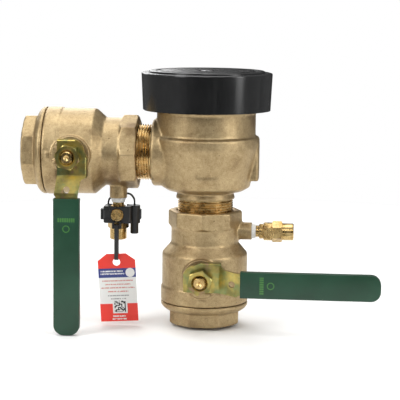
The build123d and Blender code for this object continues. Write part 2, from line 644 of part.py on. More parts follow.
def hood_screw():
    """The pan-head screw through the hood's centre."""
    seat = HOOD_TOP - 2.6 + 0.03
    shape = turned([
        (0, 199.0), (2.1, 199.0), (2.45, 200.0), (2.45, seat + 0.1), (2.45, seat), (6.6, seat),
        (6.6, seat + 1.0),
        (5.6, seat + 2.2), (3.5, seat + 2.55), (0, seat + 2.6),
    ])
    return shape - Pos(0, 0, seat + 2.6) * (Box(1.4, 9, 3.0) + Box(9, 1.4, 3.0))


# ---- sensor clip, tie and tag --------------------------------------------------------------------------
COCK_X = -(OUTLET_VALVE_FACE + VALVE_LENGTH) + COCK_BOSS_AT
BOSS_BOTTOM = OUTLET_Z - COCK_BOSS_FACE


def sensor_clip():
    """The snap-on clip round the outlet test cock, open at the back,
    with a holder and a bar for the tie."""
    height = CLIP_TOP - CLIP_BOTTOM
    middle = (CLIP_TOP + CLIP_BOTTOM) / 2
    front, back = -9.4, 8.6
    depth = back - front
    shape = Pos(COCK_X - 12.2, front, middle) * Box(
        24.6, depth, height - 1.6, align=(Align.MIN, Align.MIN, Align.CENTER))
    shape = softened(shape, shape.edges().filter_by(Axis.Z), 2.6)
    shape = softened(shape, shape.edges().group_by(Axis.Z)[-1] + shape.edges().group_by(Axis.Z)[0], 1.0)
    holder = Pos(CAPSULE_X, 0, CLIP_BOTTOM + 0.4) * Cylinder(
        CAPSULE_R + 1.5, height - 0.8, align=STANDING)
    bridge = Pos(-67.5, 0, middle) * Box(7.0, 7.0, height - 3.0)
    ear = Pos(COCK_X - 13.2, 0, middle - 0.4) * Box(4.4, 8.0, 9.4)
    ear = softened(ear, ear.edges().filter_by(Axis.Z), 1.0)
    wing = Pos(CAPSULE_X + 4.8, 0, middle) * Box(2.4, 6.0, 8.4)
    ribs = None
    for lift in (-4.6, 4.6):
        rib = Pos(COCK_X - 9.0, front - 0.2, middle + lift) * Box(5.0, 1.2, 2.0)
        ribs = rib if ribs is None else ribs + rib
    shape = shape + holder + bridge + ear + wing + ribs
    ears = None
    for side in (-1, 1):
        lug = Pos(COCK_X + side * (TIE_WIDTH / 2 + 1.3), BAR_Y + 0.8, BAR_Z + 1.6) * Box(1.6, 3.8, 6.0)
        ears = lug if ears is None else ears + lug
    bar = Pos(COCK_X, BAR_Y, BAR_Z) * Rot(0, 90, 0) * Cylinder(1.0, TIE_WIDTH + 3.6)
    shape = shape + ears + bar
    room = Pos(COCK_X, 0, 0) * rod(9.5, CLIP_BOTTOM - 20, CLIP_TOP + 5)
    shape -= room
    shape += clip_front_wall(front, middle, height)
    window = Pos(COCK_X, 0, BOSS_BOTTOM - COCK_PLUG_AT) * Rot(90, 0, 0) * Cylinder(5.75, 40, align=STANDING)
    mouth = Pos(COCK_X, back, middle) * Box(13.0, 12.0, 40)
    pocket = Pos(CAPSULE_X, 0, 0) * rod(CAPSULE_R + STATIC_GAP, 60, CLIP_TOP + 5)
    plug_room = Pos(COCK_X - 9.6, 5.4, 0) * rod(LEAD_R + STATIC_GAP, CLIP_TOP - 4, CLIP_TOP + 5)
    return shape - window - mouth - pocket - plug_room


def clip_front_wall(front, middle, height):
    """The front wall that shows round the cock's plug collar."""
    return Pos(COCK_X, front + 0.5, middle) * Box(17.0, 1.0, height - 3.2)


def sensor_capsule():
    """The sensor held in the clip, closed at its lower end."""
    shape = Pos(CAPSULE_X, 0, 76.4) * Cylinder(CAPSULE_R, CLIP_TOP - 76.4 - 0.4, align=STANDING)
    shape = softened(shape, shape.edges().group_by(Axis.Z)[0], 0.8)
    return shape


def sensor_lead():
    """The lead, from the capsule's top over and behind the boss and down into the clip."""
    top = CLIP_TOP - 0.4
    route = [
        (CAPSULE_X, 0, top), (CAPSULE_X, 0, top + 5.0), (-66.0, 6.0, top + 9.0), (-75.0, 11.6, top + 8.6),
        (-83.0, 10.0, top + 6.2), (COCK_X - 9.6, 5.4, top + 3.0), (COCK_X - 9.6, 5.4, top - 2.6),
    ]
    radii = bend_radii(route)
    path = FilletPolyline(*route, radius=radii)
    section = Plane(path @ 0, z_dir=path % 0) * Circle(LEAD_R)
    shape = sweep(section, path=path, transition=Transition.ROUND)
    print("lead bend radii", [round(r, 1) for r in radii], "length", round(path.length, 1),
          "volume share", round(shape.volume / (path.length * pi * LEAD_R**2), 3))
    return shape


def bend_radii(route):
    """The largest tangent arc at each inner point of a route: 0.45 of the shorter run."""
    radii = []
    for before, here, after in zip(route, route[1:], route[2:]):
        first, second = Vector(*here) - Vector(*before), Vector(*after) - Vector(*here)
        shorter = min(first.length, second.length)
        radii.append(0.45 * shorter / tan(radians(first.get_angle(second)) / 2))
    return radii


def tag_tie():
    """The strap loop that hangs on the clip's bar and carries the tag."""
    low = TAG_HOLE_Z + TIE_IN_HOLE + TIE_INNER_R
    outer_r = TIE_INNER_R + TIE_THICK
    middle, span = (BAR_Z + low) / 2, BAR_Z - low

    def stadium(radius):
        return Rot(0, 0, 90) * SlotOverall(span + 2 * radius, 2 * radius)

    flat = stadium(outer_r) - stadium(TIE_INNER_R)
    plane = Plane((COCK_X - TIE_WIDTH / 2, BAR_Y, middle), x_dir=(0, 1, 0), z_dir=(1, 0, 0))
    return Location(plane) * extrude(flat, TIE_WIDTH)


def tag():
    """The card tag: clipped top corners and a punched hole."""
    half, top = TAG_WIDTH / 2, TAG_ABOVE_HOLE
    bottom = top - TAG_HEIGHT
    outline = make_face(Polyline(
        (-half, bottom), (half, bottom), (half, top - 6.0), (half - 8.0, top), (8.0 - half, top),
        (-half, top - 6.0), close=True))
    card = extrude(outline - Circle(TAG_HOLE_R), TAG_THICK / 2, both=True)
    plane = Plane((COCK_X, BAR_Y, TAG_HOLE_Z), x_dir=(1, 0, 0), z_dir=(0, -1, 0))
    return Location(plane) * Rot(0, 0, TAG_TILT) * card


# ---- everything, node by node -------------------------------------------------------------------------
def build_valve(name, place, retainer_turn, cock_open):
    """One shutoff valve with its lever and test cock, put in place."""
    pieces = {
        "valve_body": valve_body(), "valve_retainer": valve_retainer(retainer_turn),
        "retainer_seal": retainer_seal(),
        "ball": ball(), "ball_seats": ball_seats(), "stem": stem(), "thrust_washer": thrust_washer(),
        "stem_packing": packing(), "gland_nut": gland_nut(), "lever": lever(), "lever_grip": grip(),
        "lever_nut": lever_nut(), "test_cock_body": COCK * cock_body(),
        "test_cock_plug": COCK * cock_plug(cock_open),
        "test_cock_seal": COCK * cock_ring(), "test_cock_tape": COCK * cock_tape(),
    }
    for piece, shape in pieces.items():
        save(f"{name}_{piece}", place * shape)


def main():
    """Writes every node."""
    os.makedirs("parts", exist_ok=True)
    for name in os.listdir("parts"):
        os.remove(os.path.join("parts", name))
    build_valve("inlet", INLET, 26.7, False)
    build_valve("outlet", OUTLET, 17.5, True)
    nodes = {
        "main_body": main_body(), "check_seat": check_seat(), "check_poppet": check_poppet(),
        "check_washer": check_washer(), "check_cage": check_cage(),
        "check_spring": coil(7.6, 0.7, CHECK_SEAT_TOP + 5.5, 146.0, 5),
        "air_float": air_float(), "float_seal": float_seal(),
        "float_spring": coil(8.0, 0.5, FLOAT_TOP + 0.1, 186.5, 5),
        "bonnet": bonnet(), "bonnet_seal": bonnet_seal(), "hood": hood(), "hood_screw": hood_screw(),
        "sensor_clip": sensor_clip(), "sensor_capsule": sensor_capsule(), "sensor_lead": sensor_lead(),
        "tag_tie": tag_tie(), "tag": tag(),
    }
    for name, shape in nodes.items():
        save(name, shape)


main()
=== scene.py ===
import bpy
import json
from math import cos, pi, radians, sin
from mathutils import Matrix, Vector

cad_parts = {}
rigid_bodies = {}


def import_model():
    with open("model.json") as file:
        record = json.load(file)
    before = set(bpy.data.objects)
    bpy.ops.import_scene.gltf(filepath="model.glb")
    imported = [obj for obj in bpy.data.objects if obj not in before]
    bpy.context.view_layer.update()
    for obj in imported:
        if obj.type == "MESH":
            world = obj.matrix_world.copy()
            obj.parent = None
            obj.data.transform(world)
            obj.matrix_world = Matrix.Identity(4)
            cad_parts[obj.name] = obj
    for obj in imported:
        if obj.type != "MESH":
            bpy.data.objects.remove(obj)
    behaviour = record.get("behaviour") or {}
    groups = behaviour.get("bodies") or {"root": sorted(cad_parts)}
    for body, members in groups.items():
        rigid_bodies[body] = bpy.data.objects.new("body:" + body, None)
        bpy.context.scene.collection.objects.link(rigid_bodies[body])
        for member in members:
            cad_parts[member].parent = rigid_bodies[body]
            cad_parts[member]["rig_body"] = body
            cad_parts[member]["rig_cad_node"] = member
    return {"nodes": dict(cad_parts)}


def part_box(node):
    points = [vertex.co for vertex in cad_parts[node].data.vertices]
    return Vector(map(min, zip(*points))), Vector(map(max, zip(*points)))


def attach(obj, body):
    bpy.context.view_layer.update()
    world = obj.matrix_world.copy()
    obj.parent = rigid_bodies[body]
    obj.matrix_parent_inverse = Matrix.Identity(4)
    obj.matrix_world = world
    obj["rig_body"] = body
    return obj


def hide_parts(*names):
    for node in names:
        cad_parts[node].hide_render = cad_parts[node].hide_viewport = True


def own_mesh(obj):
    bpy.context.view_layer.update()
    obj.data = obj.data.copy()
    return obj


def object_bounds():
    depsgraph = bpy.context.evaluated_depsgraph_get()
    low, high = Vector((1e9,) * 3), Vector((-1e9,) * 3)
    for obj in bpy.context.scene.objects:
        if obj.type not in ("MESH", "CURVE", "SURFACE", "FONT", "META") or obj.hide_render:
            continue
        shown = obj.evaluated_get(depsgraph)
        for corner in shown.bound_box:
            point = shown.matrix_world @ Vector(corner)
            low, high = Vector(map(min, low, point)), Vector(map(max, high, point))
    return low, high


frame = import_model()
cadLow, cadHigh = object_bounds()
nodes = frame["nodes"]
print("frame loaded:", len(nodes), "nodes")

mm = 0.001
valves = {
    "inlet": {"body": "inlet_shutoff", "along": Vector((1, 0, 0)), "cock": "x"},
    "outlet": {"body": "outlet_shutoff", "along": Vector((0, 0, -1)), "cock": "z"},
}


# one output socket, so that shader maths reads as ordinary sums
class Signal:
    def __init__(self, finish, socket):
        self.finish = finish
        self.socket = socket

    def math(self, operation, *others):
        inputs = dict(enumerate((self,) + others))
        return self.finish.node("ShaderNodeMath", {"operation": operation}, inputs)

    def __add__(self, other):
        return self.math("ADD", other)

    def __sub__(self, other):
        return self.math("SUBTRACT", other)

    def __rsub__(self, other):
        return self.finish.node("ShaderNodeMath", {"operation": "SUBTRACT"}, {0: other, 1: self})

    def __mul__(self, other):
        return self.math("MULTIPLY", other)

    def __lt__(self, other):
        return self.math("LESS_THAN", other)

    def __gt__(self, other):
        return self.math("GREATER_THAN", other)

    __radd__ = __add__
    __rmul__ = __mul__


class Finish:
    def __init__(self, holder, place="Object"):
        self.holder = holder
        self.holder.use_nodes = True
        self.tree = self.holder.node_tree
        self.tree.nodes.clear()
        self.place = self.node("ShaderNodeTexCoord", output=place)

    def node(self, kind, settings=None, inputs=None, output=0):
        made = self.tree.nodes.new(kind)
        for key, value in (settings or {}).items():
            if key == "stops":
                for i, (at, colour) in enumerate(value):
                    stop = made.color_ramp.elements[i] if i < 2 else made.color_ramp.elements.new(at)
                    stop.position, stop.color = at, colour
            else:
                setattr(made, key, value)
        for key, value in (inputs or {}).items():
            if isinstance(value, Signal):
                self.tree.links.new(value.socket, made.inputs[key])
            else:
                made.inputs[key].default_value = value
        return Signal(self, made.outputs[output]) if len(made.outputs) else made

    def noise(self, scale, detail=3.0, rough=0.55, place=None, output=0):
        inputs = {"Vector": place or self.place, "Scale": scale, "Detail": detail, "Roughness": rough}
        return self.node("ShaderNodeTexNoise", None, inputs, output)

    def ramp(self, value, *stops):
        return self.node("ShaderNodeValToRGB", {"stops": stops}, {0: value})

    def mix(self, share, first, second):
        return self.node("ShaderNodeMix", {"data_type": "RGBA"}, {0: share, 6: first, 7: second}, 2)

    def moved(self, offset=(0, 0, 0), turn=(0, 0, 0), scale=(1, 1, 1)):
        inputs = {"Vector": self.place, "Location": offset, "Rotation": turn, "Scale": scale}
        return self.node("ShaderNodeMapping", {"vector_type": "POINT"}, inputs)

    def axes(self, place=None):
        split = self.node("ShaderNodeSeparateXYZ", None, {0: place or self.place})
        outputs = split.socket.node.outputs
        return [Signal(self, outputs[i]) for i in range(3)]

    # values that vary go in varying, the rest are set on the shader's own sockets
    def finished(self, varying, bumps=(), **fixed):
        inputs = {name.replace("_", " "): value for name, value in fixed.items()}
        inputs.update(varying)
        normal = None
        for height, strength, distance in bumps:
            bump = {"Height": height, "Strength": strength, "Distance": distance}
            if normal:
                bump["Normal"] = normal
            normal = self.node("ShaderNodeBump", None, bump)
        if normal:
            inputs["Normal"] = normal
        shader = self.node("ShaderNodeBsdfPrincipled", None, inputs)
        self.node("ShaderNodeOutputMaterial", None, {"Surface": shader})
        return self.holder


def newFinish(name):
    return Finish(bpy.data.materials.new(name))


def within(value, low, high):
    return (value > low) * (value < high)


def grey(level):
    return (level, level, level, 1)


# sand-cast bronze: mottled tan, matte, with a sandy grain and the odd pit
castBronze = {
    "dark": (0.215, 0.145, 0.066, 1), "mid": (0.400, 0.292, 0.152, 1), "light": (0.560, 0.435, 0.250, 1),
    "stain": (0.165, 0.100, 0.048, 1), "hollow": (0.12, 0.075, 0.033, 1),
    "patch": 42, "mottle": 300, "sand": 1500, "pit": 520,  # sizes of the grain, larger numbers being finer
}


def makeCastBronze(look):
    f = newFinish("castBronze")
    patch = f.noise(look["patch"], 3, 0.5)
    mottle = f.noise(look["mottle"], 4, 0.65)
    sand = f.noise(look["sand"], 3, 0.7)
    pit = f.noise(look["pit"], 2, 0.5)
    tone = patch * 0.25 + mottle * 0.30 + sand * 0.45
    colour = f.ramp(tone, (0.34, look["dark"]), (0.64, look["light"]), (0.49, look["mid"]))
    stained = f.mix(f.ramp(patch, (0.30, grey(0.55)), (0.44, grey(0))), colour, look["stain"])
    hollow = f.ramp(pit, (0.24, grey(0)), (0.30, grey(1)))
    varying = {
        "Base Color": f.mix(hollow, look["hollow"], stained),
        "Roughness": 0.33 + mottle * 0.14 + sand * 0.12,
        "Metallic": 0.78 + patch * 0.2,
    }
    return f.finished(varying, [(mottle, 0.16, 0.4 * mm), (sand, 0.34, 0.22 * mm), (hollow, 0.4, 0.2 * mm)])


# turned brass: bright, with fine tool rings round whichever way the piece was turned
turnedBrass = {"low": (0.36, 0.225, 0.075, 1), "high": (0.72, 0.52, 0.235, 1), "rings": 5200, "stain": 160}


def makeTurnedBrass(look, axis):
    f = newFinish("turnedBrass" + axis.upper())
    stretch = {"x": (1, 0.04, 0.04), "y": (0.04, 1, 0.04), "z": (0.04, 0.04, 1)}[axis]
    rings = f.noise(look["rings"], 1, 0.4, f.moved(scale=stretch))
    stain = f.noise(look["stain"], 4, 0.6)
    colour = f.ramp(stain * 0.7 + rings * 0.3, (0.36, look["low"]), (0.62, look["high"]))
    varying = {"Base Color": colour, "Roughness": 0.16 + stain * 0.22}
    return f.finished(varying, [(rings, 0.12, 0.08 * mm)], Metallic=1.0)


# yellow chromate on steel: olive to gold, with green and rose tints that wander
chromate = {
    "olive": (0.200, 0.180, 0.062, 1), "gold": (0.520, 0.410, 0.120, 1), "green": (0.200, 0.270, 0.120, 1),
    "rose": (0.330, 0.200, 0.130, 1), "film": 70, "tint": 130, "brush": 900,
}


def makeChromate(look):
    f = newFinish("yellowChromate")
    film = f.noise(look["film"], 3, 0.5)
    tint = f.noise(look["tint"], 2, 0.5)
    brush = f.noise(look["brush"], 3, 0.6, f.moved(scale=(0.3, 1, 0.3)))
    base = f.ramp(film, (0.38, look["olive"]), (0.62, look["gold"]))
    greened = f.mix(f.ramp(tint, (0.50, grey(0)), (0.68, grey(0.7))), base, look["green"])
    colour = f.mix(f.ramp(tint, (0.30, grey(0.7)), (0.40, grey(0))), greened, look["rose"])
    varying = {"Base Color": colour, "Roughness": 0.22 + brush * 0.2}
    return f.finished(varying, [(brush, 0.10, 0.06 * mm)], Metallic=0.92)


# dipped vinyl with a plain printed bar and ring, set out along and across the grip
vinylGrip = {
    "green": (0.0045, 0.036, 0.016, 1), "worn": (0.0085, 0.054, 0.026, 1), "print": (0.055, 0.190, 0.035, 1),
    "barAt": 52.0 * mm, "barWide": 3.4 * mm, "barHalf": 7.2 * mm, "ringAt": 59.5 * mm, "ringR": 2.7 * mm,
    "ringHalf": 0.42 * mm, "strokeEvery": 1.9 * mm, "strokeGap": 0.24,
}


def makeVinyl(look, name, stem):
    f = newFinish(name + "Vinyl")
    x, y, z = f.axes()
    if name == "inlet":
        along, across = x - stem.x, z - stem.z
    else:
        along, across = stem.z - z, x - stem.x
    cloud = f.noise(45, 3, 0.5)
    peel = f.noise(650, 2, 0.5)
    off = along - look["barAt"]
    bar = within(off, -look["barWide"] / 2, look["barWide"] / 2) * (across.math("ABSOLUTE") < look["barHalf"])
    gaps = (across * (1 / look["strokeEvery"])).math("FRACT") > look["strokeGap"]
    far = along - look["ringAt"]
    reach = (far * far + across * across).math("SQRT")
    ring = (reach - look["ringR"]).math("ABSOLUTE") < look["ringHalf"]
    front = y < stem.y
    printed = (bar * gaps).math("MAXIMUM", ring) * front * (0.45 + f.noise(1400, 2, 0.6) * 0.6)
    skin = f.ramp(cloud, (0.35, look["green"]), (0.75, look["worn"]))
    varying = {"Base Color": f.mix(printed, skin, look["print"]), "Roughness": 0.30 + cloud * 0.16}
    return f.finished(varying, [(peel, 0.10, 0.12 * mm), (cloud, 0.15, 0.5 * mm)], Specular_IOR_Level=0.5)


# moulded black plastic, glossy on the hood and duller on the clip
def makeMoulded(name, black, gloss, grain):
    f = newFinish(name)
    cloud = f.noise(38, 3, 0.5)
    scuff = f.noise(420, 4, 0.65, f.moved(scale=(1, 1, 0.18)))
    deep = (black, black * 1.05, black * 1.1, 1)
    rubbed = (black * 2.1, black * 2.15, black * 2.2, 1)
    colour = f.ramp(cloud * 0.6 + scuff * 0.4, (0.3, deep), (0.75, rubbed))
    varying = {"Base Color": colour, "Roughness": gloss + scuff * 0.16}
    return f.finished(varying, [(scuff, grain, 0.08 * mm), (cloud, 0.1, 0.3 * mm)], Specular_IOR_Level=0.55)


def makePlain(name, low, high, scale, rough, metal, bump):
    f = newFinish(name)
    grain = f.noise(scale, 4, 0.6)
    colour = f.ramp(grain, (0.35, low), (0.68, high))
    varying = {"Base Color": colour, "Roughness": rough + grain * 0.2}
    return f.finished(varying, [(grain, bump, 0.1 * mm)], Metallic=metal)


# the printed card: red ends, a blue band, and rows of plain bars where print would be
cardPrint = {
    "red": (0.800, 0.045, 0.030, 1), "blue": (0.035, 0.050, 0.220, 1), "white": (0.80, 0.80, 0.78, 1),
    "grey": (0.30, 0.30, 0.30, 1), "pink": (0.62, 0.28, 0.24, 1), "ink": (0.03, 0.03, 0.035, 1),
    "tilt": 3.5, "band": (-13.7, -5.5), "lower": -36.9, "disc": (11.4, -9.6, 4.0), "cell": 1.0,
    "square": (1.0, 6.45, -45.6, -33.6), "blocks": (1.0, 5.0, -44.5, -34.5),
    "rows": [(-16.6, 13.5), (-19.8, 11.2), (-22.8, 14.8), (-26.1, 9.0)],
    "lastRows": [(-29.8, 9.2), (-32.6, 6.7)], "footRows": [(-48.1, 5.6), (-50.6, 6.2)],
    "bandRows": [(-8.1, 5.0), (-10.4, 6.2)], "bandStart": -14.6,
}


def makeCard(look, pivot):
    f = newFinish("printedCard")
    toHole = [-place / mm for place in pivot]
    u, _, v = f.axes(f.moved(offset=toHole, scale=(1000, 1000, 1000)))  # in millimetres from the hole
    lean = radians(look["tilt"])
    across = u * cos(lean) + v * sin(lean)
    up = v * cos(lean) - u * sin(lean)
    band = within(up, *look["band"])
    foot = up < look["lower"]
    top = up > look["band"][1]

    def bars(rows, thick, start=None):
        total = None
        for level, half in rows:
            row = within(up, level - thick, level + thick)
            row = row * (within(across, start, half) if start else (across.math("ABSOLUTE") < half))
            total = row if total is None else total.math("MAXIMUM", row)
        return total

    words = f.noise(1.5, 1, 0.5, f.node("ShaderNodeCombineXYZ", None, {0: across, 1: up * 0.2})) > 0.43
    colour = f.mix(bars(look["rows"], 0.55) * words, look["white"], look["pink"])
    colour = f.mix(bars(look["lastRows"], 0.5) * words, colour, look["grey"])
    colour = f.mix(foot.math("MAXIMUM", top), colour, look["red"])
    colour = f.mix(band, colour, look["blue"])
    colour = f.mix(bars(look["bandRows"], 0.6, look["bandStart"]) * words * band, colour, look["white"])
    discX, discZ, discR = look["disc"]
    reach = ((across - discX) * (across - discX) + (up - discZ) * (up - discZ)).math("SQRT")
    colour = f.mix(reach < discR, colour, look["white"])
    middle, half, low, high = look["square"]
    square = within(across, middle - half, middle + half) * within(up, low, high)
    colour = f.mix(square, colour, look["white"])
    cells = [(axis * (1 / look["cell"])).math("FLOOR") for axis in (across + 50, up + 50)]
    cell = f.node("ShaderNodeCombineXYZ", None, {0: cells[0], 1: cells[1]})
    dice = f.node("ShaderNodeTexWhiteNoise", {"noise_dimensions": "2D"}, {"Vector": cell})
    middle, half, low, high = look["blocks"]
    blocks = within(across, middle - half, middle + half) * within(up, low, high) * (dice > 0.5)
    colour = f.mix(blocks, colour, look["ink"])
    colour = f.mix(bars(look["footRows"], 0.65) * words, colour, look["white"])
    fibre = f.noise(900, 3, 0.6)
    return f.finished({"Base Color": colour, "Roughness": 0.34 + fibre * 0.12}, [(fibre, 0.08, 0.08 * mm)])


rubberBlack = makePlain("mouldedRubber", grey(0.010), (0.030, 0.030, 0.031, 1), 700, 0.55, 0.0, 0.2)
whiteTape = makePlain("sealingTape", (0.62, 0.61, 0.58, 1), (0.86, 0.86, 0.84, 1), 1300, 0.45, 0.0, 0.6)
springSteel = makePlain("stainless", (0.42, 0.42, 0.43, 1), (0.66, 0.66, 0.67, 1), 800, 0.18, 1.0, 0.1)
hardChrome = makePlain("hardChrome", (0.60, 0.61, 0.63, 1), (0.74, 0.75, 0.77, 1), 500, 0.06, 1.0, 0.05)
greyAcetal = makePlain("greyAcetal", (0.26, 0.27, 0.27, 1), (0.36, 0.37, 0.37, 1), 600, 0.38, 0.0, 0.1)
hoodPlastic = makeMoulded("hoodPlastic", 0.0060, 0.14, 0.10)
clipPlastic = makeMoulded("clipPlastic", 0.0065, 0.34, 0.25)
strapNylon = makeMoulded("strapNylon", 0.010, 0.30, 0.20)
bronze = makeCastBronze(castBronze)
brass = {axis: makeTurnedBrass(turnedBrass, axis) for axis in "xyz"}
plating = makeChromate(chromate)
print("finishes made")


def dress(name, material):
    piece = nodes[name]
    piece.data.materials.clear()
    piece.data.materials.append(material)


for name, valve in valves.items():
    low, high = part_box(name + "_stem")
    valve["stem"] = (low + high) / 2
    low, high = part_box(name + "_lever_grip")
    valve["stem"].y = (low.y + high.y) / 2
    looks = {
        "valve_body": bronze, "valve_retainer": bronze, "retainer_seal": rubberBlack, "ball": hardChrome,
        "ball_seats": whiteTape, "thrust_washer": whiteTape, "stem_packing": whiteTape, "stem": brass["y"],
        "gland_nut": brass["y"], "lever": plating, "lever_nut": plating,
        "test_cock_body": brass[valve["cock"]], "test_cock_plug": brass["y"],
        "test_cock_seal": rubberBlack, "test_cock_tape": whiteTape,
        "lever_grip": makeVinyl(vinylGrip, name, valve["stem"]),
    }
    for part, material in looks.items():
        dress(name + "_" + part, material)
for name, material in {
    "main_body": bronze, "check_seat": brass["z"], "check_poppet": greyAcetal, "check_washer": rubberBlack,
    "check_cage": greyAcetal, "check_spring": springSteel, "air_float": greyAcetal, "float_seal": rubberBlack,
    "float_spring": springSteel, "bonnet": brass["z"], "bonnet_seal": rubberBlack, "hood": hoodPlastic,
    "hood_screw": springSteel, "sensor_clip": clipPlastic, "sensor_capsule": clipPlastic,
    "sensor_lead": rubberBlack, "tag_tie": strapNylon,
}.items():
    dress(name, material)
tieLow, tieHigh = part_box("tag_tie")
strapToHole = 1.75 * mm  # the strap bears on the hole's upper edge
cardHole = (tieLow + tieHigh) / 2
cardHole.z = tieLow.z - strapToHole
dress("tag", makeCard(cardPrint, cardHole))
print("nodes dressed")


# a copy of a cast node, its corners softened and its skin roughened as sand leaves them
castSkins = {
    "inlet_valve_body": {"piece": "inletValveCasting", "voxel": 0.80 * mm},
    "outlet_valve_body": {"piece": "outletValveCasting", "voxel": 0.80 * mm},
    "inlet_valve_retainer": {"piece": "inletRetainerCasting", "voxel": 0.70 * mm},
    "outlet_valve_retainer": {"piece": "outletRetainerCasting", "voxel": 0.70 * mm},
}
sandTexture = bpy.data.textures.new("sand", "CLOUDS")
sandTexture.noise_scale = 3.5 * mm


def deselectAll():
    if bpy.context.object and bpy.context.object.mode != "OBJECT":
        bpy.ops.object.mode_set(mode="OBJECT")
    bpy.ops.object.select_all(action="DESELECT")


def editing(piece, mode="VERT"):
    pick(piece)
    bpy.ops.object.mode_set(mode="EDIT")
    bpy.ops.mesh.select_mode(type=mode)
    bpy.ops.mesh.select_all(action="DESELECT")


# selects the edges or faces of a piece that pass a test, and leaves it in edit mode
def choose(piece, mode, passes):
    editing(piece, mode)
    bpy.ops.object.mode_set(mode="OBJECT")
    for part in piece.data.edges if mode == "EDGE" else piece.data.polygons:
        part.select = passes(part)
    bpy.ops.object.mode_set(mode="EDIT")


def pick(piece):
    deselectAll()
    piece.select_set(True)
    bpy.context.view_layer.objects.active = piece


def copyOfNode(name, pieceName):
    piece = nodes[name].copy()
    piece.data = nodes[name].data.copy()
    piece.name = pieceName
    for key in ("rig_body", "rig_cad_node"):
        del piece[key]
    piece.parent = None
    bpy.context.scene.collection.objects.link(piece)
    editing(piece)
    bpy.ops.mesh.select_all(action="SELECT")
    bpy.ops.mesh.remove_doubles(threshold=0.001 * mm)
    bpy.ops.object.mode_set(mode="OBJECT")
    return piece


def modify(piece, kind, **settings):
    pick(piece)
    modifier = piece.modifiers.new(kind.title(), kind)
    for key, value in settings.items():
        setattr(modifier, key, value)
    bpy.ops.object.modifier_apply(modifier=modifier.name)


def softenCasting(piece, voxel):
    modify(piece, "REMESH", mode="VOXEL", voxel_size=voxel)
    modify(piece, "SMOOTH", factor=0.5, iterations=4)
    modify(piece, "DISPLACE", texture=sandTexture, texture_coords="LOCAL", strength=0.22 * mm, mid_level=0.5)
    pick(piece)
    bpy.ops.object.shade_smooth()


for node, look in castSkins.items():
    skin = copyOfNode(node, look["piece"])
    softenCasting(skin, look["voxel"])
    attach(skin, "breaker")
    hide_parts(node)
print("valve castings softened")

# the vacuum breaker's casting, without its two threaded spigots, which are made apart
spigots = {
    "pipeR": 24.13 * mm, "depth": 1.3 * mm, "pitch": 25.4 / 11.5 * mm, "wall": 3.6 * mm,
    "ringZ": 109.0 * mm, "shoulder": 46.0 * mm, "overlap": 1.0 * mm, "trim": 0.05 * mm, "sunk": 0.15 * mm,
}
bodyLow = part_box("main_body")[0]
casting = copyOfNode("main_body", "breakerCasting")
bpy.ops.mesh.primitive_cube_add(size=1, location=(0, 0, 0))
keep = bpy.context.object
keepLow = Vector((-spigots["shoulder"] - spigots["trim"], -0.1, spigots["ringZ"] + spigots["trim"]))
keepHigh = Vector((0.1, 0.1, 0.3))  # well past the casting
keep.scale, keep.location = keepHigh - keepLow, (keepHigh + keepLow) / 2
modify(casting, "BOOLEAN", operation="INTERSECT", solver="EXACT", object=keep)
bpy.data.objects.remove(keep)
softenCasting(casting, 0.95 * mm)
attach(casting, "breaker")
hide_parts("main_body")
print("breaker casting softened")


def threadedSpigot(pieceName, look, start, end, place, material):
    rootR = look["pipeR"] - look["depth"]
    bpy.ops.mesh.primitive_cylinder_add(vertices=96, radius=rootR, depth=end - start, end_fill_type="NOTHING",
                                        location=(0, 0, (start + end) / 2))
    sleeve = bpy.context.object
    firstWall = sleeve.data.polygons[0]
    facesIn = firstWall.normal.dot(firstWall.center) < 0
    modify(sleeve, "SOLIDIFY", thickness=look["wall"], offset=1 if facesIn else -1)
    bpy.ops.object.transform_apply(location=True, rotation=True, scale=True)
    turns = int((end - start) / look["pitch"]) - 1
    bpy.ops.mesh.primitive_plane_add(size=1, location=(0, 0, 0))
    tooth = bpy.context.object
    foot, crest = -look["sunk"], look["depth"]
    corners = ((foot, -0.46), (crest, -0.10), (foot, 0.46), (crest, 0.10))
    for vertex, (out, rise) in zip(tooth.data.vertices, corners):
        vertex.co = (rootR + out, 0, start + look["pitch"] * (0.6 + rise))
    modify(tooth, "SCREW", angle=2 * pi, screw_offset=look["pitch"], iterations=turns,
           steps=72, render_steps=72, use_normal_calculate=True)
    editing(tooth)
    bpy.ops.mesh.select_all(action="SELECT")
    bpy.ops.mesh.remove_doubles(threshold=0.001 * mm)
    bpy.ops.mesh.select_all(action="DESELECT")
    bpy.ops.mesh.select_non_manifold()
    bpy.ops.mesh.edge_face_add()
    bpy.ops.mesh.select_all(action="SELECT")
    bpy.ops.mesh.normals_make_consistent(inside=False)
    bpy.ops.object.mode_set(mode="OBJECT")
    sleeve.select_set(True)
    bpy.context.view_layer.objects.active = sleeve
    bpy.ops.object.join()
    sleeve.name = pieceName
    sleeve.matrix_world = place
    pick(sleeve)
    bpy.ops.object.transform_apply(location=True, rotation=True, scale=True)
    bpy.ops.object.shade_smooth_by_angle(angle=radians(30))
    sleeve.data.materials.append(material)
    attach(sleeve, "breaker")
    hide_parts("main_body")


endGap = 0.1 * mm
lowSpan = (bodyLow.z + endGap, spigots["ringZ"] + spigots["overlap"])
threadedSpigot("inletSpigotThread", spigots, *lowSpan, Matrix.Identity(4), brass["z"])
sideSpan = (spigots["shoulder"] - spigots["overlap"], -bodyLow.x - endGap)
sideways = Matrix.Translation((0, 0, valves["outlet"]["stem"].z)) @ Matrix.Rotation(-pi / 2, 4, "Y")
threadedSpigot("outletSpigotThread", spigots, *sideSpan, sideways, brass["x"])
print("threads cut")


# vinyl sleeves: a bar with a rounded tip and an open cuff that the blade goes into
sleeveLook = {"tipR": 8.3 * mm, "edge": 2.3 * mm, "skin": 0.8 * mm, "mouth": 1.2 * mm}


